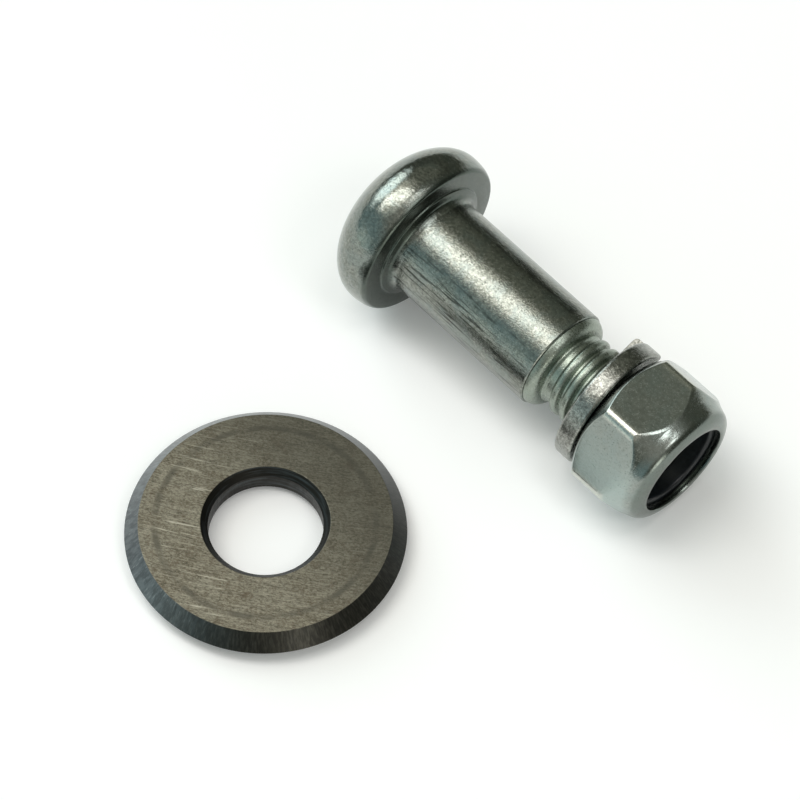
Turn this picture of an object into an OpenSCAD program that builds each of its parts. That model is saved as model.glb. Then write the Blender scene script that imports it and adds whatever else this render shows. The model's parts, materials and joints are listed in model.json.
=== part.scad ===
// Tile cutter wheel with its axle hardware, laid out on a flat surface.
// The origin is the centre of the wheel's bore and +Z runs along the bore.
// The wheel lies flat. The axle bolt lies beside it on its side, with its
// washer and lock nut part of the way up the thread.

/* [Wheel] */
// Diameter of the wheel over its cutting edge
wheel_d = 25; // [21:0.5:28]
// Thickness of the wheel between its flat faces
wheel_t = 3; // [2:0.1:4]
// Angle between the two ground bevels at the cutting edge, in degrees
edge_angle = 100; // [80:1:120]
// How much wider the bore is than the bolt's shoulder
bore_clearance = 0.2; // [0.1:0.02:0.4]
// Width of the chamfer at each mouth of the bore
bore_chamfer = 0.65; // [0.2:0.05:0.9]

/* [Axle bolt] */
// Diameter of the smooth shoulder that the wheel turns on
shoulder_d = 10; // [9.4:0.1:11]
// Length of the shoulder from the underside of the head to its end face
shoulder_len = 17.1; // [14:0.1:22]
// Chamfer round the end of the shoulder
shoulder_chamfer = 0.1; // [0.05:0.05:0.3]
// Diameter of the rounded end where it leaves the shoulder
end_round_d = 9.66; // [9.2:0.02:9.8]
// Height of the rounded end
end_round_h = 1.1; // [0.8:0.1:1.4]
// Diameter of the head at its widest line
head_d = 16.8; // [16:0.1:19]
// Height of the dome above the widest line
dome_h = 4.9; // [4.3:0.1:6]
// Height of the rounded edge below the widest line
head_edge_h = 2; // [1.2:0.1:3]
// Diameter of the flat underside of the head
seat_d = 15.6; // [14.5:0.1:15.8]
// Diameter of the low ring round the root of the shoulder
root_ring_d = 12; // [11.6:0.1:13]
// Height of the low ring
root_ring_h = 0.35; // [0.2:0.05:0.6]
// Size of the hexagon socket in the dome, across its flats
socket_af = 5; // [4:0.5:6]
// Depth of the hexagon socket
socket_depth = 3; // [2:0.25:4]

/* [Thread] */
// Diameter of the thread over its crests
thread_d = 7.9; // [7.6:0.05:8]
// Axial distance from one crest to the next
thread_pitch = 1.25; // [1:0.05:1.4]
// Diameter of the neck between the rounded end and the thread
neck_d = 7; // [6.6:0.1:7.4]
// Length of the neck
neck_len = 0.15; // [0.1:0.05:0.5]
// Distance from the end of the shoulder to the end of the thread
thread_end = 12.8; // [12:0.1:16]

/* [Spring washer] */
// Width and height of the washer's square section
washer_section = 2; // [1.6:0.1:2.4]
// How far the washer stands clear of the thread all round
washer_clearance = 0.25; // [0.15:0.05:0.4]
// Gap between the washer's two ends, round its middle circle
washer_gap = 1; // [0.6:0.1:2]
// How far the two ends of the washer are sprung apart, along its axis
washer_spring = 0.9; // [0.6:0.1:2.6]
// How far the washer leans from one side to the other, along its axis
washer_lean = 1.3; // [0:0.1:1.5]
// Direction in which the leaning washer meets the nut, in degrees from straight down
washer_lean_angle = 253; // [0:1:359]
// Direction of the split round the bolt's axis, in degrees from straight down
washer_split_angle = 112; // [0:1:359]

/* [Lock nut] */
// Size of the nut across its flats
nut_af = 13; // [12.6:0.1:13.6]
// Height of the nut with its collar
nut_h = 7.9; // [7.6:0.1:9]
// Diameter of the round bearing face
bearing_d = 11.8; // [11:0.1:12.4]
// Height at which the bearing face's chamfer leaves the corners
bearing_chamfer_h = 1.4; // [0.8:0.1:1.8]
// Height at which the corners of the hexagon end
corner_h = 4.5; // [3.6:0.1:4.8]
// Height at which the middles of the flats end
flat_h = 6.1; // [5.6:0.1:6.3]
// Radius to which the collar's rim is rolled over
rim_round = 1.35; // [1.1:0.05:1.5]
// Diameter of the opening inside the rolled rim
rim_opening_d = 9.2; // [8.8:0.1:9.6]
// Distance of the nut's bearing face from the end of the shoulder
nut_place = 7.4; // [6.6:0.1:10]

/* [Nylon insert] */
// Outside diameter of the insert
insert_d = 10.6; // [10:0.1:11]
// Thickness of the insert
insert_t = 1.7; // [1:0.1:2]

/* [Layout] */
// Place of the shoulder's end, to the right of the wheel's centre
bolt_x = 25.8; // [24:0.1:32]
// Place of the shoulder's end, behind the wheel's centre
bolt_y = 15.1; // [13:0.1:20]
// Turn of the bolt's axis towards the front, in degrees
bolt_turn = 45; // [35:1:55]

/* [Hidden] */

round_fn = 96;
fit_gap = 0.05;

floor_z = -wheel_t / 2;
wheel_r = wheel_d / 2;
bore_r = (shoulder_d + bore_clearance) / 2;
bevel_w = wheel_t / 2 / tan(edge_angle / 2);

head_r = head_d / 2;
seat_r = seat_d / 2;
shoulder_r = shoulder_d / 2;
neck_r = neck_d / 2;
thread_r = thread_d / 2;
widest_z = -(shoulder_len + head_edge_h);
top_z = widest_z - dome_h;
neck_end = end_round_h + neck_len;
thread_start = neck_end + thread_r - neck_r;
end_chamfer = 0.6 * thread_pitch;

washer_bore_r = thread_r + washer_clearance;
washer_r = washer_bore_r + washer_section;
washer_mid_r = (washer_bore_r + washer_r) / 2;
washer_turn = 360 - washer_gap / (2 * PI * washer_mid_r) * 360;
washer_steps = 60;

flat_r = nut_af / 2;
corner_r = flat_r / cos(30);
bearing_r = bearing_d / 2;
rim_r = rim_opening_d / 2;
nut_bore_r = thread_r + fit_gap;
insert_r = insert_d / 2;
insert_bore_r = thread_r + 2 * fit_gap;
rim_wall = 0.7;
pocket_top = nut_h - rim_wall;
pocket_floor = pocket_top - insert_t - 2 * fit_gap;

// The bolt rests on the rim of its head and on the lower flat of the nut, so
// its axis dips towards the nut by the angle at which both just touch.
rest_z = nut_place + flat_h;
function head_drop(tilt) = seat_r * cos(tilt)
    + norm([(head_r - seat_r) * cos(tilt), head_edge_h * sin(tilt)]);
function resting_tilt(tilt, rounds) = rounds == 0 ? tilt
    : resting_tilt(asin((head_drop(tilt) - flat_r * cos(tilt)) / (rest_z - widest_z)), rounds - 1);
bolt_tilt = resting_tilt(0, 12);
bolt_z = floor_z + flat_r * cos(bolt_tilt) + rest_z * sin(bolt_tilt);

// Points of an elliptical arc round [x, z], between two angles
function arc(x, z, rx, rz, from, to, steps = 12) =
    [for (i = [0:steps]) let (a = from + (to - from) * i / steps) [x + rx * cos(a), z + rz * sin(a)]];

// Puts a piece that is modelled along +Z from the shoulder's end, with its
// head below, where the bolt lies. The piece's +X side then faces down.
module on_bolt() {
    translate([bolt_x, bolt_y, bolt_z]) rotate([0, 90 + bolt_tilt, -bolt_turn]) children();
}

// A disc with two ground bevels that meet in a sharp cutting edge, and a
// bore that is chamfered at both faces
module cutting_wheel() {
    half_t = wheel_t / 2;
    face_r = wheel_r - bevel_w;
    mouth_r = bore_r + bore_chamfer;
    color("dimgray") rotate_extrude($fn = round_fn) polygon([
        [bore_r, bore_chamfer - half_t], [mouth_r, -half_t], [face_r, -half_t],
        [wheel_r, 0],
        [face_r, half_t], [mouth_r, half_t], [bore_r, half_t - bore_chamfer]]);
}

// The head, shoulder, rounded end, neck and thread are one turned piece
module axle_bolt() {
    head = concat(
        arc(0, widest_z, head_r, dome_h, -90, 0, 24),
        arc(seat_r, widest_z, head_r - seat_r, head_edge_h, 0, 90, 8));
    shoulder = [
        [root_ring_d / 2, -shoulder_len], [root_ring_d / 2, root_ring_h - shoulder_len],
        [shoulder_r, root_ring_h - shoulder_len],
        [shoulder_r, -shoulder_chamfer], [shoulder_r - shoulder_chamfer, 0]];
    rounded_end = arc(neck_r, 0, end_round_d / 2 - neck_r, end_round_h, 0, 90, 12);
    thread = [
        [neck_r, neck_end], [thread_r, thread_start],
        [thread_r, thread_end - end_chamfer], [thread_r - end_chamfer, thread_end], [0, thread_end]];
    color("silver") on_bolt() difference() {
        rotate_extrude($fn = round_fn) polygon(concat(head, shoulder, rounded_end, thread));
        translate([0, 0, top_z - 1]) cylinder(h = socket_depth + 1, r = socket_af / 2 / cos(30), $fn = 6);
    }
}

// One turn of square wire, sprung into a left-hand helix and cut through. It
// leans on the bolt, so that its axial place follows a wave round the turn.
module spring_washer() {
    start = washer_split_angle + (360 - washer_turn) / 2;
    falls = [for (i = [0:washer_steps]) washer_spring * i / washer_steps
        + washer_lean / 2 * (1 - cos(start + washer_turn * i / washer_steps - washer_lean_angle))];
    top = nut_place - fit_gap + min(falls);
    section = [
        [washer_bore_r, 0], [washer_r, 0],
        [washer_r, washer_section], [washer_bore_r, washer_section]];
    points = [for (i = [0:washer_steps]) let (a = washer_turn * i / washer_steps)
        for (p = section) [p.x * cos(a), p.x * sin(a), p.y - falls[i]]];
    sides = [for (i = [0:washer_steps - 1], j = [0:3])
        let (a = 4 * i + j, b = 4 * i + (j + 1) % 4) each [[a, a + 4, b], [b, a + 4, b + 4]]];
    last = 4 * washer_steps;
    ends = [[0, 1, 2, 3], [last + 3, last + 2, last + 1, last]];
    color("darkgray") on_bolt() translate([0, 0, top - washer_section])
        rotate([0, 0, start])
            polyhedron(points = points, faces = concat(sides, ends), convexity = 4);
}

// Outline of the nut as if it were turned: a bearing chamfer below, a cone
// that cuts the corners above, and a collar rolled over the insert
module nut_outline() {
    lip_edge = 0.1;
    polygon(concat(
        [[nut_bore_r, 0], [bearing_r, 0], [corner_r, bearing_chamfer_h],
         [corner_r, corner_h], [flat_r, flat_h]],
        arc(rim_r + lip_edge, nut_h - rim_round, rim_round, rim_round, 25, 90, 12),
        [[rim_r, nut_h - lip_edge], [rim_r, pocket_top],
         [insert_r + fit_gap, pocket_top], [insert_r + fit_gap, pocket_floor],
         [nut_bore_r, pocket_floor]]));
}

// A hexagon nut whose collar holds the nylon insert
module lock_nut() {
    color("gainsboro") on_bolt() translate([0, 0, nut_place]) intersection() {
        rotate_extrude($fn = round_fn) nut_outline();
        rotate([0, 0, 30]) cylinder(h = nut_h, r = corner_r, $fn = 6);
    }
}

// A plain ring under the rolled rim, which grips the thread
module nylon_insert() {
    color("midnightblue") on_bolt()
        translate([0, 0, nut_place + pocket_top - fit_gap - insert_t])
            rotate_extrude($fn = round_fn) translate([insert_bore_r, 0])
                square([insert_r - insert_bore_r, insert_t]);
}

cutting_wheel();
axle_bolt();
spring_washer();
lock_nut();
nylon_insert();
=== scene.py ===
"""Dresses the tile cutter wheel, its axle bolt, spring washer and lock nut.

Sizes are in millimetres here and become metres when a mesh is made. The bolt
and what is on it are modelled along +Z from the end face of the shoulder, with
+X facing the floor, and are then laid where the frame's joints say.
"""

import json
import math

import bpy
import numpy as np
from mathutils import Matrix, Vector


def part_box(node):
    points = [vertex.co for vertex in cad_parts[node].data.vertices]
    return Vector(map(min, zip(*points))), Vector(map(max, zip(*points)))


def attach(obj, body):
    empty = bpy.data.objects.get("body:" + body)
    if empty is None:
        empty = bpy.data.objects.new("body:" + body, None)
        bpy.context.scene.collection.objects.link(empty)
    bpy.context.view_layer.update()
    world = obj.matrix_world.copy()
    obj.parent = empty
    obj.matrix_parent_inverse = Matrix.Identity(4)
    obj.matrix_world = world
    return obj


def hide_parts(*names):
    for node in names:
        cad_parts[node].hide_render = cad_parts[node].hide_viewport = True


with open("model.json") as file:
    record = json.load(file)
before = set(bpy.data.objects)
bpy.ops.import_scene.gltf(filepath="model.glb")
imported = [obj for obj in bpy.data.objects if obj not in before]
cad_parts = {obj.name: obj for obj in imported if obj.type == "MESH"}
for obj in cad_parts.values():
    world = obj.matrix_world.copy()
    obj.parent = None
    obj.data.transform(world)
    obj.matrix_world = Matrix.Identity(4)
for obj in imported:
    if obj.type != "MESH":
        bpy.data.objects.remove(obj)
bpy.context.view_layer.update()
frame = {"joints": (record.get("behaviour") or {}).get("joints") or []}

MM = 0.001

# Wheel
WHEEL_T = 3.0
EDGE_ANGLE = math.radians(100)
BORE_R = 5.1
BORE_CHAMFER = 0.65
WHEEL_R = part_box("cutting_wheel")[1].x / MM
WHEEL_FACE_R = WHEEL_R - WHEEL_T / 2 / math.tan(EDGE_ANGLE / 2)

# Axle bolt
SHOULDER_R = 5.0
SHOULDER_LEN = 17.1
SHOULDER_CHAMFER = 0.1
END_ROUND_R = 4.83
END_ROUND_H = 1.1
HEAD_R = 8.4
DOME_H = 4.9
HEAD_EDGE_H = 2.0
SEAT_R = 7.8
ROOT_RING_R = 6.0
ROOT_RING_H = 0.35
SOCKET_AF = 5.0
SOCKET_DEPTH = 3.0

# Thread
THREAD_R = 3.95
THREAD_ROOT_R = 3.52
PITCH = 1.25
NECK_R = 3.72
NECK_LEN = 0.15
THREAD_END = 12.8
THREAD_PHASE = math.radians(261)

# Spring washer
WASHER_SECTION = 2.0
WASHER_BORE_R = 4.2
WASHER_GAP = 1.0
WASHER_SPRING = 1.43
WASHER_LEAN = 1.12
WASHER_LEAN_ANGLE = math.radians(263)
WASHER_SPLIT_ANGLE = math.radians(112)

# Lock nut and its insert
NUT_PLACE = 7.4
NUT_FLAT_R = 6.5
NUT_CORNER_R = NUT_FLAT_R / math.cos(math.pi / 6)
NUT_CORNER_ROUND = 0.9
NUT_TURN = math.radians(2.5)
NUT_EDGE_ROUND = 0.12
NUT_H = 7.9
BEARING_R = 5.9
BEARING_CHAMFER_H = 1.4
CORNER_H = 4.5
FLAT_H = 6.1
COLLAR_R = 6.44
RIM_ROUND = 1.5
RIM_H = 1.2
RIM_OPENING_R = 4.6
INSERT_R = 5.3
INSERT_BORE_R = 4.05
INSERT_T = 1.7
POCKET_TOP = 7.2
NUT_BORE_R = 4.0
FIT_GAP = 0.05


def bolt_matrix():
    """Turns the bolt's own millimetres into the row frame, from the nut's joint."""
    joint = next(j for j in frame["joints"] if j["name"] == "nut_turn")
    along = Vector(joint["axis"]).normalized()
    down = (Vector((0, 0, -1)) + along * along.z).normalized()
    side = along.cross(down)
    origin = Vector(joint["pos_m"]) - along * NUT_PLACE * MM
    turn = Matrix((down, side, along)).transposed().to_4x4()
    return Matrix.Translation(origin) @ turn


BOLT = bolt_matrix()
FLAT = Matrix.Identity(4)


def fillet(corners, closed, steps=4):
    """Rounds each corner (r, z, radius) of an outline, with a point just past each arc to keep flats flat."""
    count = len(corners)
    points = []
    for i, (r, z, radius) in enumerate(corners):
        here = np.array((r, z))
        ends = not closed and i in (0, count - 1)
        if ends or radius == 0:
            points.append(here)
            continue
        before = np.array(corners[i - 1][:2]) - here
        after = np.array(corners[(i + 1) % count][:2]) - here
        len_before, len_after = np.linalg.norm(before), np.linalg.norm(after)
        before, after = before / len_before, after / len_after
        half = math.acos(np.clip(before @ after, -1, 1)) / 2
        reach = min(radius / math.tan(half), 0.45 * len_before, 0.45 * len_after)
        radius = reach * math.tan(half)
        centre = here + (before + after) / np.linalg.norm(before + after) * radius / math.sin(half)
        start, end = here + before * reach, here + after * reach
        points.append(start + before * min(reach, 0.04 * len_before))
        for k in range(steps + 1):
            chord = start + (end - start) * k / steps - centre
            points.append(centre + chord / np.linalg.norm(chord) * radius)
        points.append(end + after * min(reach, 0.04 * len_after))
    return [tuple(p) for p in points]


def arc(r, z, rx, rz, start, end, steps=12):
    """Points of an elliptical arc round (r, z), between two angles in degrees."""
    turns = [math.radians(start + (end - start) * i / steps) for i in range(steps + 1)]
    return [(r + rx * math.cos(a), z + rz * math.sin(a)) for a in turns]


def make_piece(name, points, faces, place):
    """A smooth-shaded mesh object from millimetre points, put in place in the row frame."""
    mesh = bpy.data.meshes.new(name)
    mesh.from_pydata([place @ (Vector(p) * MM) for p in points], [], faces)
    mesh.validate()
    mesh.polygons.foreach_set("use_smooth", [True] * len(mesh.polygons))
    mesh.set_sharp_from_angle(angle=math.radians(35))
    piece = bpy.data.objects.new(name, mesh)
    bpy.context.scene.collection.objects.link(piece)
    return piece


def lathe(column, angles, closed):
    """Points and faces of a turned solid. column(angle) gives its outline (r, z) there; an open one ends on the axis."""
    columns = [column(a) for a in angles]
    points, rows = [], []
    for k in range(len(columns[0])):
        if columns[0][k][0] < 1e-6:
            rows.append([len(points)] * len(angles))
            points.append((0.0, 0.0, columns[0][k][1]))
            continue
        rows.append([len(points) + i for i in range(len(angles))])
        points += [(c[k][0] * math.cos(a), c[k][0] * math.sin(a), c[k][1]) for c, a in zip(columns, angles)]
    faces = []
    for low, high in zip(rows, rows[1:] + (rows[:1] if closed else [])):
        for i in range(len(angles)):
            j = (i + 1) % len(angles)
            faces.append(tuple(dict.fromkeys((low[i], low[j], high[j], high[i]))))
    return points, faces


def evenly(count):
    return [2 * math.pi * i / count for i in range(count)]


def strip(columns):
    """Points and faces of a run of equal closed outlines, capped at both ends."""
    rows = len(columns[0])
    points = [p for column in columns for p in column]
    faces = []
    for c in range(len(columns) - 1):
        for k in range(rows):
            m = (k + 1) % rows
            faces.append((c * rows + k, (c + 1) * rows + k, (c + 1) * rows + m, c * rows + m))
    last = (len(columns) - 1) * rows
    faces.append(tuple(reversed(range(rows))))
    faces.append(tuple(last + k for k in range(rows)))
    return points, faces


def hexagon_r(angle, flat_r, corner_round):
    """Radius of a hexagon with rounded corners, with a flat across angle 0."""
    from_flat = (angle + math.pi / 6) % (math.pi / 3) - math.pi / 6
    from_corner = math.pi / 6 - abs(from_flat)
    centre = (flat_r - corner_round) / math.cos(math.pi / 6)
    limit = math.atan(corner_round * 0.5 / (centre + corner_round * math.cos(math.pi / 6)))
    if from_corner < limit:
        return centre * math.cos(from_corner) + math.sqrt(corner_round ** 2 - (centre * math.sin(from_corner)) ** 2)
    return flat_r / math.cos(from_flat)


def hexagon_angles(first_corner):
    """Angles round a hexagon, close together at its corners."""
    steps = [0, 0.5, 1, 1.5, 2, 2.5, 3, 3.5, 4.5, 6.5, 9, 12, 15, 18, 21, 24, 27, 30]
    half = steps[:-1] + [60 - a for a in reversed(steps[1:])]
    return [first_corner + math.radians(60 * side + a) for side in range(6) for a in half]


def cutting_wheel():
    half = WHEEL_T / 2
    mouth_r = BORE_R + BORE_CHAMFER
    wall = half - BORE_CHAMFER
    corners = [
        (BORE_R, -wall, 0.05), (mouth_r, -half, 0.06), (WHEEL_FACE_R, -half, 0.04), (WHEEL_R, 0, 0.02),
        (WHEEL_FACE_R, half, 0.04), (mouth_r, half, 0.06), (BORE_R, wall, 0.05)]
    outline = fillet(corners, closed=True)
    points, faces = lathe(lambda a: outline, evenly(256), closed=True)
    return make_piece("ground_wheel", points, faces, FLAT)


def axle_bolt():
    """The bolt's core: a dome with a broached hexagon socket, the shoulder, its rounded end and the thread's root."""
    widest = -(SHOULDER_LEN + HEAD_EDGE_H)
    top = widest - DOME_H
    floor = top + SOCKET_DEPTH
    edge = arc(SEAT_R, widest, HEAD_R - SEAT_R, HEAD_EDGE_H, 0, 90, 12)[1:]
    shank = fillet([
        (SEAT_R, -SHOULDER_LEN, 0), (ROOT_RING_R + 0.1, -SHOULDER_LEN, 0.05),
        (ROOT_RING_R + 0.04, 0.16 - SHOULDER_LEN, 0.1),
        (SHOULDER_R + 0.35, ROOT_RING_H - SHOULDER_LEN, 0.5),
        (SHOULDER_R, ROOT_RING_H + 0.5 - SHOULDER_LEN, 0.8),
        (SHOULDER_R, -SHOULDER_CHAMFER, 0.06), (SHOULDER_R - SHOULDER_CHAMFER, 0, 0.04),
        (END_ROUND_R - 0.05, 0, 0.03), (END_ROUND_R, 0.08, 0)], closed=False)[1:]
    rounded = arc(NECK_R, 0, END_ROUND_R - NECK_R, END_ROUND_H, 4, 84, 16)[1:]
    neck_end = END_ROUND_H + NECK_LEN
    tip = fillet([
        (NECK_R, END_ROUND_H, 0), (NECK_R, neck_end, 0.1), (THREAD_ROOT_R, neck_end + 0.2, 0.1),
        (THREAD_ROOT_R, THREAD_END - 0.3, 0.05),
        (THREAD_ROOT_R - 0.3, THREAD_END, 0.05), (0, THREAD_END, 0)], closed=False)
    tail = edge + shank + rounded + tip

    def dome_z(r):
        return widest - DOME_H * math.sqrt(max(0, 1 - (r / HEAD_R) ** 2))

    def column(angle):
        mouth = hexagon_r(angle + math.pi / 6, SOCKET_AF / 2, 0.15)
        socket = [
            (0, floor + 0.5), (mouth * 0.45, floor + 0.25), (mouth * 0.9, floor), (mouth - 0.06, floor - 0.02),
            (mouth, floor - 0.12), (mouth, dome_z(mouth) + 0.14), (mouth + 0.03, dome_z(mouth + 0.03) + 0.06)]
        dome = [(mouth + (HEAD_R - mouth) * math.sin(math.radians(90 * k / 32)), 0) for k in range(33)]
        dome = [(r + 0.1 * (1 - (r - mouth) / (HEAD_R - mouth)), 0) for r, z in dome]
        return socket + [(min(r, HEAD_R), dome_z(min(r, HEAD_R))) for r, z in dome] + tail

    points, faces = lathe(column, hexagon_angles(0), closed=False)
    return make_piece("plated_bolt", points, faces, BOLT)


def bolt_thread():
    """The helical ridge of the thread, which runs out into the core at both ends."""
    steps = 96
    start = END_ROUND_H + 0.3
    section = [(-0.5, 0), (-0.44, 0.2), (-0.3, 0.68), (-0.22, 0.88), (-0.12, 0.98), (0, 1),
               (0.12, 0.98), (0.22, 0.88), (0.3, 0.68), (0.44, 0.2), (0.5, 0)]
    base_r = THREAD_ROOT_R - 0.12
    count = int((THREAD_END - 0.2 - start) / PITCH * steps)
    columns = []
    for i in range(count + 1):
        a = THREAD_PHASE + 2 * math.pi * i / steps
        z = start + PITCH * i / steps
        rise = min(1, (i + 1) / (0.45 * steps), (count + 1 - i) / (0.2 * steps))
        crest = base_r + 0.02 + rise * (THREAD_R - base_r - 0.02)
        columns.append([
            ((base_r + h * (crest - base_r)) * math.cos(a), (base_r + h * (crest - base_r)) * math.sin(a), z + w * PITCH)
            for w, h in section])
    points, faces = strip(columns)
    return make_piece("bolt_thread", points, faces, BOLT)


def spring_washer():
    """One turn of square wire with its edges broken, sprung into a left-hand helix and leaning on the bolt."""
    washer_r = WASHER_BORE_R + WASHER_SECTION
    mid_r = (washer_r + WASHER_BORE_R) / 2
    turn = 2 * math.pi - WASHER_GAP / mid_r
    section = fillet([
        (WASHER_BORE_R, 0, 0.35), (washer_r, 0, 0.42),
        (washer_r, WASHER_SECTION, 0.3), (WASHER_BORE_R, WASHER_SECTION, 0.12)], closed=True, steps=5)
    middle = ((WASHER_BORE_R + washer_r) / 2, WASHER_SECTION / 2)
    steps = 240
    first = WASHER_SPLIT_ANGLE + (2 * math.pi - turn) / 2
    angles = [first + turn * i / steps for i in range(steps + 1)]
    falls = [WASHER_SPRING * i / steps + WASHER_LEAN / 2 * (1 - math.cos(a - WASHER_LEAN_ANGLE))
             for i, a in enumerate(angles)]
    base = NUT_PLACE - FIT_GAP - WASHER_SECTION + min(falls)
    columns = []
    for i, (a, fall) in enumerate(zip(angles, falls)):
        inset = 0.06 if i in (0, steps) else 0.0
        shown = [(r + (middle[0] - r) * inset, z + (middle[1] - z) * inset) for r, z in section]
        columns.append([(r * math.cos(a), r * math.sin(a), base + z - fall) for r, z in shown])
    points, faces = strip(columns)
    return make_piece("sprung_washer", points, faces, BOLT)


def nut_crown():
    """The nut's outline (r, z) above its flats: the cone that cuts the corners, the collar and the rolled rim."""
    slope = (FLAT_H - CORNER_H) / (NUT_CORNER_R - NUT_FLAT_R)
    beyond = NUT_CORNER_R + 0.6
    rim = arc(RIM_OPENING_R + 0.1, NUT_H - RIM_H, RIM_ROUND, RIM_H, 8, 84, 16)
    cone = fillet([
        (beyond, FLAT_H - (beyond - NUT_FLAT_R) * slope, 0),
        (COLLAR_R, FLAT_H + (NUT_FLAT_R - COLLAR_R) * slope, 0.12), rim[0] + (0,)], closed=False, steps=3)
    return cone[:-1] + rim


def nut_column(angle, crown):
    """The nut's section at one angle, as (r, z) points with the same count at every angle."""
    r = hexagon_r(angle, NUT_FLAT_R, NUT_CORNER_ROUND)
    crown_r, crown_z = np.array(crown).T
    low = (r - BEARING_R) * BEARING_CHAMFER_H / (NUT_CORNER_R - BEARING_R)
    high = np.interp(-r, -crown_r, crown_z)
    e = NUT_EDGE_ROUND
    chamfer = [(BEARING_R - 0.4, 0), (BEARING_R - 0.04, 0), (BEARING_R + 0.03, 0.03)]
    below = [(r - 0.9 * e, low - 0.8 * e), (r - 0.3 * e, low - 0.1 * e), (r - 0.05 * e, low + 0.5 * e), (r, low + e)]
    flat = [(r, low + e + (high - low - 2 * e) * k / 6) for k in range(1, 7)]
    above = [(r - 0.05 * e, high - 0.5 * e), (r - 0.3 * e, high + 0.05 * e)]
    joined = COLLAR_R
    cone = [(r - e + (joined - r + e) * k / 9, 0) for k in range(10)]
    cone = [(q, float(np.interp(-q, -crown_r, crown_z))) for q, z in cone]
    rest = [(q, z) for q, z in crown if q < joined - 0.01]
    inside = [
        (RIM_OPENING_R + 0.03, NUT_H - 0.04), (RIM_OPENING_R, NUT_H - 0.12),
        (RIM_OPENING_R, POCKET_TOP + 0.05), (RIM_OPENING_R + 0.03, POCKET_TOP),
        (INSERT_R + FIT_GAP, POCKET_TOP), (INSERT_R + FIT_GAP, POCKET_TOP - INSERT_T - 2 * FIT_GAP),
        (NUT_BORE_R + 0.05, POCKET_TOP - INSERT_T - 2 * FIT_GAP), (NUT_BORE_R, POCKET_TOP - INSERT_T - 0.2),
        (NUT_BORE_R, 0.5), (NUT_BORE_R + 0.45, 0.02), (NUT_BORE_R + 0.5, 0)]
    return [(q, z + NUT_PLACE) for q, z in chamfer + below + flat + above + cone + rest + inside]


def lock_nut():
    crown = nut_crown()
    points, faces = lathe(lambda a: nut_column(a - NUT_TURN, crown), hexagon_angles(math.pi / 6 + NUT_TURN), closed=True)
    return make_piece("plated_nut", points, faces, BOLT)


def nylon_insert():
    top = NUT_PLACE + POCKET_TOP - FIT_GAP
    outline = fillet([
        (INSERT_BORE_R, top - INSERT_T, 0.1), (INSERT_R, top - INSERT_T, 0.1),
        (INSERT_R, top, 0.1), (INSERT_BORE_R, top, 0.3)], closed=True)
    points, faces = lathe(lambda a: outline, evenly(128), closed=True)
    return make_piece("nylon_ring", points, faces, BOLT)


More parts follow.
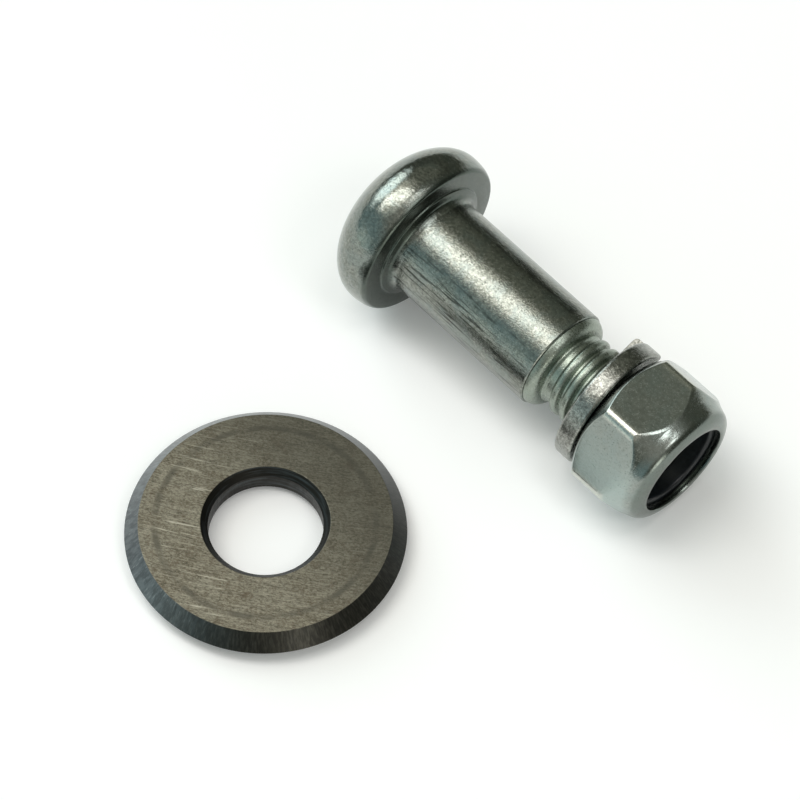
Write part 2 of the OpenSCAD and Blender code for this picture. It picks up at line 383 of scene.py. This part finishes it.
class Look:
    """A procedural material that works in a piece's own millimetres, with Z along its axis."""

    def __init__(self, name, place, metallic):
        self.material = bpy.data.materials.new(name)
        self.material.use_nodes = True
        self.nodes = self.material.node_tree.nodes
        self.links = self.material.node_tree.links
        self.shader = self.nodes["Principled BSDF"]
        self.shader.inputs["Metallic"].default_value = metallic
        where = self.nodes.new("ShaderNodeTexCoord").outputs["Object"]
        turned = self.nodes.new("ShaderNodeMapping")
        turned.vector_type = "TEXTURE"
        turned.inputs["Location"].default_value = place.to_translation()
        turned.inputs["Rotation"].default_value = place.to_euler()
        self.links.new(where, turned.inputs["Vector"])
        self.mm = self.stretch(turned.outputs["Vector"], (1000, 1000, 1000))
        axes = self.nodes.new("ShaderNodeSeparateXYZ")
        self.links.new(self.mm, axes.inputs["Vector"])
        self.x, self.y, self.z = axes.outputs

    def put(self, socket, value):
        if isinstance(value, bpy.types.NodeSocket):
            self.links.new(value, socket)
        else:
            socket.default_value = value

    def stretch(self, vector, scale):
        node = self.nodes.new("ShaderNodeVectorMath")
        node.operation = "MULTIPLY"
        self.put(node.inputs[0], vector)
        node.inputs[1].default_value = scale
        return node.outputs["Vector"]

    def math(self, operation, a, b=0.0):
        node = self.nodes.new("ShaderNodeMath")
        node.operation = operation
        self.put(node.inputs[0], a)
        self.put(node.inputs[1], b)
        return node.outputs["Value"]

    def radius(self):
        return self.math("SQRT", self.math("ADD", self.math("MULTIPLY", self.x, self.x),
                                           self.math("MULTIPLY", self.y, self.y)))

    def round_axis(self, around, along):
        """Coordinates that follow the turn: angle, radius and height, each with its own stretch."""
        angle = self.math("MULTIPLY", self.math("ARCTAN2", self.y, self.x), around)
        return self.join(angle, self.math("MULTIPLY", self.radius(), along), self.math("MULTIPLY", self.z, along))

    def join(self, x, y, z):
        node = self.nodes.new("ShaderNodeCombineXYZ")
        for socket, value in zip(node.inputs, (x, y, z)):
            self.put(socket, value)
        return node.outputs["Vector"]

    def noise(self, vector, scale, detail=4.0, rough=0.55, distortion=0.0):
        node = self.nodes.new("ShaderNodeTexNoise")
        self.put(node.inputs["Vector"], vector)
        node.inputs["Scale"].default_value = scale
        node.inputs["Detail"].default_value = detail
        node.inputs["Roughness"].default_value = rough
        node.inputs["Distortion"].default_value = distortion
        return node.outputs["Fac"]

    def span(self, value, start, end, low=0.0, high=1.0):
        """low before start, high after end and a smooth step between them."""
        node = self.nodes.new("ShaderNodeMapRange")
        node.interpolation_type = "SMOOTHSTEP"
        self.put(node.inputs["Value"], value)
        for name, number in (("From Min", start), ("From Max", end), ("To Min", low), ("To Max", high)):
            node.inputs[name].default_value = number
        return node.outputs["Result"]

    def band(self, value, middle, half, soft):
        return self.math("MULTIPLY", self.span(value, middle - half - soft, middle - half),
                         self.span(value, middle + half, middle + half + soft, 1, 0))

    def mix(self, amount, a, b):
        node = self.nodes.new("ShaderNodeMix")
        node.data_type = "RGBA"
        self.put(node.inputs[0], amount)
        for socket, value in ((node.inputs[6], a), (node.inputs[7], b)):
            self.put(socket, value if isinstance(value, bpy.types.NodeSocket) else (*value, 1))
        return node.outputs[2]

    def mix_value(self, amount, a, b):
        node = self.nodes.new("ShaderNodeMix")
        self.put(node.inputs[0], amount)
        self.put(node.inputs[2], a)
        self.put(node.inputs[3], b)
        return node.outputs[0]

    def bump(self, height, distance_mm, strength=1.0, under=None):
        node = self.nodes.new("ShaderNodeBump")
        node.inputs["Strength"].default_value = strength
        node.inputs["Distance"].default_value = distance_mm * MM
        self.put(node.inputs["Height"], height)
        if under:
            self.put(node.inputs["Normal"], under)
        return node.outputs["Normal"]

    def finish(self, colour, roughness, normal):
        self.put(self.shader.inputs["Base Color"], colour)
        self.put(self.shader.inputs["Roughness"], roughness)
        self.put(self.shader.inputs["Normal"], normal)
        return self.material


def ground_metal():
    """Surface-ground hard metal: short curved scratches and stains on the faces, ticks round the bevels and a very dark
    bore with turned rings.
    Painted shade darkens the face towards its upper right and the bevel towards its lower and upper right, and the
    bright scratches are kept to the lit left side as painted glints.
    """
    look = Look("ground_metal", FLAT, 1)
    r = look.radius()
    on_bevel = look.span(r, WHEEL_FACE_R - 0.04, WHEEL_FACE_R + 0.02)
    in_bore = look.span(r, BORE_R + BORE_CHAMFER - 0.06, BORE_R + BORE_CHAMFER + 0.02, 1, 0)
    bowed = look.math("ADD", look.y, look.math("MULTIPLY", look.x, 0.167))
    bowed = look.math("SUBTRACT", bowed, look.math("MULTIPLY", look.math("MULTIPLY", look.x, look.x), 0.0045))
    path = look.join(look.x, bowed, look.z)
    fine = look.noise(look.stretch(path, (0.4, 6.5, 1)), 1, 5, 0.65)
    sparse = look.noise(look.stretch(path, (0.22, 4.2, 1)), 1, 2, 0.5)
    cloud = look.noise(look.mm, 0.45, 6, 0.62)
    stain = look.noise(look.mm, 1.1, 7, 0.7, 0.5)
    grain = look.noise(look.stretch(path, (4.5, 7.5, 1)), 1, 4, 0.75)
    pits = look.noise(look.stretch(path, (2.2, 6, 1)), 1, 3, 0.6)
    colour = look.mix(look.span(cloud, 0.36, 0.64), (0.185, 0.163, 0.12), (0.242, 0.222, 0.171))
    colour = look.mix(look.span(grain, 0.46, 0.64, 0, 0.6), colour, (0.4, 0.375, 0.3))
    colour = look.mix(look.span(grain, 0.36, 0.5, 0.75, 0), colour, (0.08, 0.072, 0.055))
    colour = look.mix(look.span(fine, 0.52, 0.7, 0, 0.5), colour, (0.46, 0.435, 0.355))
    colour = look.mix(look.span(fine, 0.32, 0.46, 0.6, 0), colour, (0.1, 0.09, 0.07))
    # The bright scratches are real marks, kept to the lit left side as painted glints.
    lit_left_side = look.span(look.x, -7, 3, 0.65, 0.05)
    colour = look.mix(look.math("MULTIPLY", look.span(sparse, 0.66, 0.73), lit_left_side), colour, (0.6, 0.57, 0.47))
    colour = look.mix(look.span(stain, 0.52, 0.7, 0, 0.65), colour, (0.115, 0.088, 0.062))
    colour = look.mix(look.span(pits, 0.62, 0.7, 0, 0.7), colour, (0.05, 0.045, 0.035))
    ring = look.math("MULTIPLY", look.band(r, 9.75, 0.1, 0.35), look.span(cloud, 0.38, 0.6, 0.15, 0.75))
    ring = look.math("MULTIPLY", ring, look.span(grain, 0.36, 0.6, 0.5, 1))
    colour = look.mix(ring, colour, (0.085, 0.08, 0.065))
    across = look.math("ADD", look.math("MULTIPLY", look.x, 0.78), look.math("MULTIPLY", look.y, 0.62))
    # Painted shade: the face is darkened towards its upper right.
    wear_and_painted_light = look.span(across, -5, 9, 0, 0.62)
    colour = look.mix(wear_and_painted_light, colour, (0.07, 0.07, 0.058))
    ticks = look.noise(look.round_axis(26, 0.7), 1, 4, 0.6)
    ticks_fine = look.noise(look.round_axis(70, 1.2), 1, 3, 0.6)
    bevel = look.mix(look.span(ticks, 0.4, 0.62), (0.095, 0.106, 0.112), (0.15, 0.168, 0.176))
    bevel = look.mix(look.span(ticks_fine, 0.56, 0.76, 0, 0.55), bevel, (0.34, 0.37, 0.38))
    bevel = look.mix(look.span(stain, 0.56, 0.72, 0, 0.5), bevel, (0.05, 0.055, 0.058))
    # Painted shade: the bevel is darkened towards its lower right and again towards its upper right.
    shaded = look.math("SUBTRACT", look.math("MULTIPLY", look.x, 0.75), look.math("MULTIPLY", look.y, 0.66))
    bevel_painted_shade = look.mix(look.span(ticks_fine, 0.38, 0.66), (0.043, 0.04, 0.034), (0.078, 0.073, 0.061))
    bevel = look.mix(look.span(shaded, -5, 7, 0, 0.92), bevel, bevel_painted_shade)
    bevel = look.mix(look.span(across, 0, 10, 0, 0.6), bevel, (0.04, 0.042, 0.042))
    colour = look.mix(on_bevel, colour, bevel)
    turned = look.noise(look.round_axis(1.2, 3.6), 1, 4, 0.6)
    bore = look.mix(look.span(turned, 0.45, 0.65), (0.026, 0.025, 0.022), (0.06, 0.067, 0.069))
    colour = look.mix(in_bore, colour, bore)
    rough = look.mix_value(on_bevel, look.span(fine, 0.35, 0.65, 0.52, 0.4), 0.3)
    flat = look.span(r, WHEEL_FACE_R - 0.02, WHEEL_FACE_R + 0.02, 1, 0)
    skin = look.math("ADD", look.math("MULTIPLY", fine, 0.8), look.math("MULTIPLY", grain, 0.7))
    normal = look.bump(look.math("MULTIPLY", skin, flat), 0.016, 0.8)
    normal = look.bump(look.math("MULTIPLY", ticks_fine, on_bevel), 0.012, 0.6, normal)
    return look.finish(colour, rough, normal)


def zinc_plate(name, tones, rough, skin, streaks, freckle, detail):
    """Zinc plate: cloudy tones with a faint green and blue cast, a pitted skin and, where it rubs, dark drawn lines."""
    look = Look(name, BOLT, 1)
    dark, light, cast = tones
    cloud = look.noise(look.mm, 0.5, 5, 0.6, 0.3)
    mottle = look.noise(look.mm, 3.2, 6, 0.72)
    ripple = look.noise(look.mm, 5.5, 3, 0.6)
    pores = look.noise(look.stretch(look.mm, (8, 8, 5)), 1, 4, 0.7)
    drawn = look.noise(look.stretch(look.mm, (3.7, 3.7, 0.24)), 1, 5, 0.64)
    middle = -0.5 * SHOULDER_LEN
    on_shank = look.band(look.z, middle, -middle - 0.6, 0.5)
    rubbed = look.math("MULTIPLY", look.span(look.y, -1.8, -4.6), on_shank)
    colour = look.mix(look.span(mottle, 0.36, 0.64), dark, light)
    colour = look.mix(look.span(cloud, 0.42, 0.62, 0.05, 0.5), colour, cast)
    colour = look.mix(look.span(pores, 0.54, 0.68, 0, freckle), colour, [0.22 * c for c in dark])
    lines = look.math("MULTIPLY", look.span(drawn, 0.52, 0.61, 0, streaks), rubbed)
    colour = look.mix(lines, colour, [0.18 * c for c in dark])
    roughness = look.math("ADD", look.span(mottle, 0.3, 0.7, rough - 0.03, rough + 0.07),
                          look.span(pores, 0.5, 0.68, 0, 0.14))
    height = look.math("ADD", ripple, look.math("MULTIPLY", pores, 1.1))
    colour, roughness, height = detail(look, colour, roughness, ripple, height)
    normal = look.bump(height, 0.03, skin)
    normal = look.bump(look.math("MULTIPLY", drawn, rubbed), 0.02, 0.4 * streaks, normal)
    return look.finish(colour, roughness, normal)


def bolt_detail(look, colour, roughness, ripple, height):
    """A dented glossy head, painted shade under it, and a matt greenish plating from the shoulder's end to the thread
    that is lightened as a painted sheen.
    """
    on_head = look.span(look.z, -SHOULDER_LEN - 1.2, -SHOULDER_LEN - 0.2, 1, 0)
    dents = look.math("MULTIPLY", look.noise(look.mm, 1.5, 2, 0.5), 1.9)
    dented = look.math("ADD", look.math("MULTIPLY", height, 0.4), dents)
    height = look.mix_value(on_head, height, dented)
    roughness = look.math("SUBTRACT", roughness, look.math("MULTIPLY", on_head, 0.03))
    # Painted shade: the seat and the root fillet under the head are darkened where shade falls.
    under = look.math("MULTIPLY", look.band(look.z, 0.3 - SHOULDER_LEN, 0.5, 0.3),
                      look.span(look.radius(), SHOULDER_R + 0.02, SHOULDER_R + 0.3))
    colour = look.mix(look.math("MULTIPLY", under, 0.75), colour, (0.045, 0.06, 0.05))
    angle = look.math("ARCTAN2", look.y, look.x)
    marks = look.span(look.noise(look.stretch(look.mm, (2.2, 2.2, 0.5)), 1, 5, 0.65), 0.42, 0.56)
    marks = look.math("MULTIPLY", marks, look.band(angle, math.radians(153), math.radians(4), math.radians(7)))
    marks = look.math("MULTIPLY", marks, look.band(look.z, -0.5 * SHOULDER_LEN, 0.5 * SHOULDER_LEN - 1.2, 0.5))
    colour = look.mix(look.math("MULTIPLY", marks, 0.75), colour, (0.05, 0.055, 0.045))
    # The shoulder's end and the thread get a lighter greenish tone, partly a matt plating and partly a painted sheen,
    # and a rougher finish.
    end = look.span(look.z, -0.02, 0.12)
    colour = look.mix(look.math("MULTIPLY", end, 0.6), colour, (0.34, 0.39, 0.33))
    return colour, look.mix_value(end, roughness, look.span(ripple, 0.3, 0.7, 0.24, 0.36)), height


def washer_detail(look, colour, roughness, ripple, height):
    """The pale torn faces where the washer is cut through."""
    angle = look.math("ARCTAN2", look.y, look.x)
    half = 0.5 * WASHER_GAP / (WASHER_BORE_R + WASHER_SECTION / 2)
    cut = look.band(angle, WASHER_SPLIT_ANGLE, half + 0.004, 0.006)
    torn = look.mix(look.span(ripple, 0.4, 0.62), (0.2, 0.2, 0.175), (0.5, 0.49, 0.45))
    return look.mix(cut, colour, torn), look.mix_value(cut, roughness, 0.5), height


def nut_detail(look, colour, roughness, ripple, height):
    """Corners lightened, partly by wear and partly as a painted highlight, the flats painted paler and bluer low down
    as a reflection of the floor, and a duller plating on the rolled rim.
    """
    r = look.radius()
    on_flats = look.span(r, COLLAR_R - 0.3, COLLAR_R)
    # Painted reflection: the flats are made paler and bluer towards the floor side.
    colour = look.mix(look.math("MULTIPLY", look.span(look.x, -5.5, -0.5, 0, 0.6), on_flats), colour, (0.44, 0.52, 0.5))
    on_rim = look.span(r, COLLAR_R - 0.55, COLLAR_R - 0.25, 0.6, 0)
    colour = look.mix(on_rim, colour, (0.1, 0.12, 0.105))
    # Corners lightened: partly wear, partly a painted highlight.
    wear_and_painted_light = look.span(r, NUT_FLAT_R + 0.62, NUT_FLAT_R + 0.84, 0, 0.8)
    wear_and_painted_light = look.math("MULTIPLY", wear_and_painted_light, look.span(ripple, 0.35, 0.55, 0.4, 1))
    return look.mix(wear_and_painted_light, colour, (0.62, 0.62, 0.56)), roughness, height


def moulded_nylon():
    look = Look("moulded_nylon", BOLT, 0)
    skin = look.noise(look.mm, 4, 4, 0.6)
    rub = look.noise(look.round_axis(1, 6), 1, 3, 0.6)
    colour = look.mix(look.span(skin, 0.4, 0.7), (0.004, 0.005, 0.007), (0.009, 0.012, 0.016))
    colour = look.mix(look.span(rub, 0.56, 0.7, 0, 0.5), colour, (0.014, 0.026, 0.032))
    return look.finish(colour, look.span(skin, 0.4, 0.7, 0.32, 0.5), look.bump(skin, 0.02, 0.5))


def dress(piece, material, body, slot, *nodes):
    piece.data.materials.append(material)
    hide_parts(*nodes)
    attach(piece, body)


def set_camera():
    """The photograph's view: from the front, looking down, about 0.3 m away."""
    elevation = math.radians(56.28)
    roll = math.radians(1.57)
    distance = 0.3098
    target = Vector((11.523, 15.192, -WHEEL_T / 2)) * MM
    lens_px, frame_px = 3400, 800
    back = Vector((0, -math.cos(elevation), math.sin(elevation)))
    right = Vector((1, 0, 0))
    up = Vector((0, math.sin(elevation), math.cos(elevation)))
    right, up = right * math.cos(roll) + up * math.sin(roll), up * math.cos(roll) - right * math.sin(roll)
    data = bpy.data.cameras.new("camera")
    data.sensor_width = 36
    data.lens = 36 * lens_px / frame_px
    data.clip_start, data.clip_end = 0.01, 10
    camera = bpy.data.objects.new("camera", data)
    camera.matrix_world = Matrix.Translation(target + back * distance) @ Matrix((right, up, back)).transposed().to_4x4()
    bpy.context.scene.collection.objects.link(camera)
    bpy.context.scene.camera = camera


set_camera()
bolt_zinc = zinc_plate(
    "bolt_zinc", ((0.17, 0.18, 0.155), (0.32, 0.33, 0.295), (0.21, 0.25, 0.24)), 0.12, 0.5, 0.85, 0.75, bolt_detail)
washer_zinc = zinc_plate(
    "washer_zinc", ((0.135, 0.134, 0.12), (0.44, 0.445, 0.41), (0.25, 0.26, 0.24)), 0.145, 0.6, 0.3, 0.85,
    washer_detail)
nut_zinc = zinc_plate(
    "nut_zinc", ((0.275, 0.295, 0.27), (0.335, 0.36, 0.335), (0.28, 0.33, 0.315)), 0.145, 0.22, 0.0, 0.4, nut_detail)
dress(cutting_wheel(), ground_metal(), "wheel_and_bolt", "ground_steel", "cutting_wheel")
dress(axle_bolt(), bolt_zinc, "wheel_and_bolt", "zinc_bolt", "axle_bolt")
dress(bolt_thread(), bolt_zinc, "wheel_and_bolt", "zinc_bolt", "axle_bolt")
dress(spring_washer(), washer_zinc, "washer", "zinc_washer", "spring_washer")
dress(lock_nut(), nut_zinc, "nut", "zinc_nut", "lock_nut")
dress(nylon_insert(), moulded_nylon(), "nut", "nylon", "nylon_insert")


def make_floor():
    """A plain pale floor under the object, which keeps its shadow."""
    reach = 1.5
    mesh = bpy.data.meshes.new("floor")
    level = -WHEEL_T / 2 * MM
    mesh.from_pydata([(-reach, -reach, level), (reach, -reach, level), (reach, reach, level), (-reach, reach, level)],
                     [], [(0, 1, 2, 3)])
    floor = bpy.data.objects.new("floor", mesh)
    bpy.context.scene.collection.objects.link(floor)
    material = bpy.data.materials.new("pale_floor")
    material.use_nodes = True
    shader = material.node_tree.nodes["Principled BSDF"]
    shader.inputs["Base Color"].default_value = (0.93, 0.93, 0.93, 1)
    shader.inputs["Roughness"].default_value = 0.9
    shader.inputs["Specular IOR Level"].default_value = 0.1
    nodes, links = material.node_tree.nodes, material.node_tree.links
    seen = nodes.new("ShaderNodeLightPath")
    direct = nodes.new("ShaderNodeMath")
    direct.operation = "MAXIMUM"
    links.new(seen.outputs["Is Camera Ray"], direct.inputs[0])
    links.new(seen.outputs["Is Glossy Ray"], direct.inputs[1])
    shown = nodes.new("ShaderNodeMath")
    shown.operation = "MAXIMUM"
    links.new(direct.outputs["Value"], shown.inputs[0])
    links.new(seen.outputs["Is Transmission Ray"], shown.inputs[1])
    level = nodes.new("ShaderNodeMath")
    level.operation = "MULTIPLY"
    links.new(shown.outputs["Value"], level.inputs[0])
    level.inputs[1].default_value = FLOOR_GLOW
    shader.inputs["Emission Color"].default_value = (1, 1, 1, 1)
    links.new(level.outputs["Value"], shader.inputs["Emission Strength"])
    mesh.materials.append(material)


def toward(azimuth, elevation):
    """Unit vector from the object towards a place in the studio, in degrees."""
    a, e = math.radians(azimuth), math.radians(elevation)
    return Vector((math.cos(e) * math.cos(a), math.cos(e) * math.sin(a), math.sin(e)))


def softbox(name, azimuth, elevation, distance, width, height, power):
    data = bpy.data.lights.new(name, "AREA")
    data.shape = "RECTANGLE"
    data.size, data.size_y = width, height
    data.energy = power
    lamp = bpy.data.objects.new(name, data)
    where = toward(azimuth, elevation) * distance + OBJECT_MIDDLE
    turn = (OBJECT_MIDDLE - where).to_track_quat("-Z", "Y")
    lamp.matrix_world = Matrix.Translation(where) @ turn.to_matrix().to_4x4()
    bpy.context.scene.collection.objects.link(lamp)


def set_world():
    """A studio that is light on the left and overhead and dim behind and on the right."""
    world = bpy.data.worlds.new("studio")
    world.use_nodes = True
    nodes, links = world.node_tree.nodes, world.node_tree.links
    where = nodes.new("ShaderNodeTexCoord").outputs["Generated"]

    def glow(direction, start, end, colour, under):
        """Adds colour to the light from a side of the studio."""
        facing = nodes.new("ShaderNodeVectorMath")
        facing.operation = "DOT_PRODUCT"
        links.new(where, facing.inputs[0])
        facing.inputs[1].default_value = direction
        step = nodes.new("ShaderNodeMapRange")
        step.interpolation_type = "SMOOTHSTEP"
        links.new(facing.outputs["Value"], step.inputs["Value"])
        step.inputs["From Min"].default_value, step.inputs["From Max"].default_value = start, end
        mix = nodes.new("ShaderNodeMix")
        mix.data_type = "RGBA"
        links.new(step.outputs["Result"], mix.inputs[0])
        if isinstance(under, tuple):
            mix.inputs[6].default_value = (*under, 1)
        else:
            links.new(under, mix.inputs[6])
        mix.inputs[7].default_value = (*colour, 1)
        return mix.outputs[2]

    light = glow(toward(-165, 5), 0.2, 0.95, (0.36, 0.49, 0.51), (0.12, 0.13, 0.105))
    light = glow(toward(-75, 62), 0.6, 0.98, (0.45, 0.45, 0.41), light)
    light = glow(toward(80, 58), 0.85, 0.97, (0.25, 0.265, 0.22), light)
    light = glow(toward(-160, -10), 0.8, 0.99, (0.95, 1.1, 1.06), light)
    light = glow(toward(168, 66), 0.86, 0.99, (1.5, 1.47, 1.32), light)
    light = glow(toward(134, 30), 0.9, 0.985, (3.0, 3.35, 3.4), light)
    light = glow(toward(-66, 5), 0.96, 0.996, (3.0, 3.0, 2.75), light)
    links.new(light, nodes["Background"].inputs["Color"])
    bpy.context.scene.world = world


def set_light():
    set_world()
    softbox("overhead", 168, 67, 0.5, 0.18, 0.4, 0.62)
    softbox("front", -45, 52, 0.5, 0.13, 0.13, 0.24)
    softbox("top", -30, 76, 0.5, 0.12, 0.12, 0.2)


FLOOR_GLOW = 0.12
OBJECT_MIDDLE = Vector((12, 12, 3)) * MM
make_floor()
set_light()
bpy.context.scene.view_settings.view_transform = "Standard"
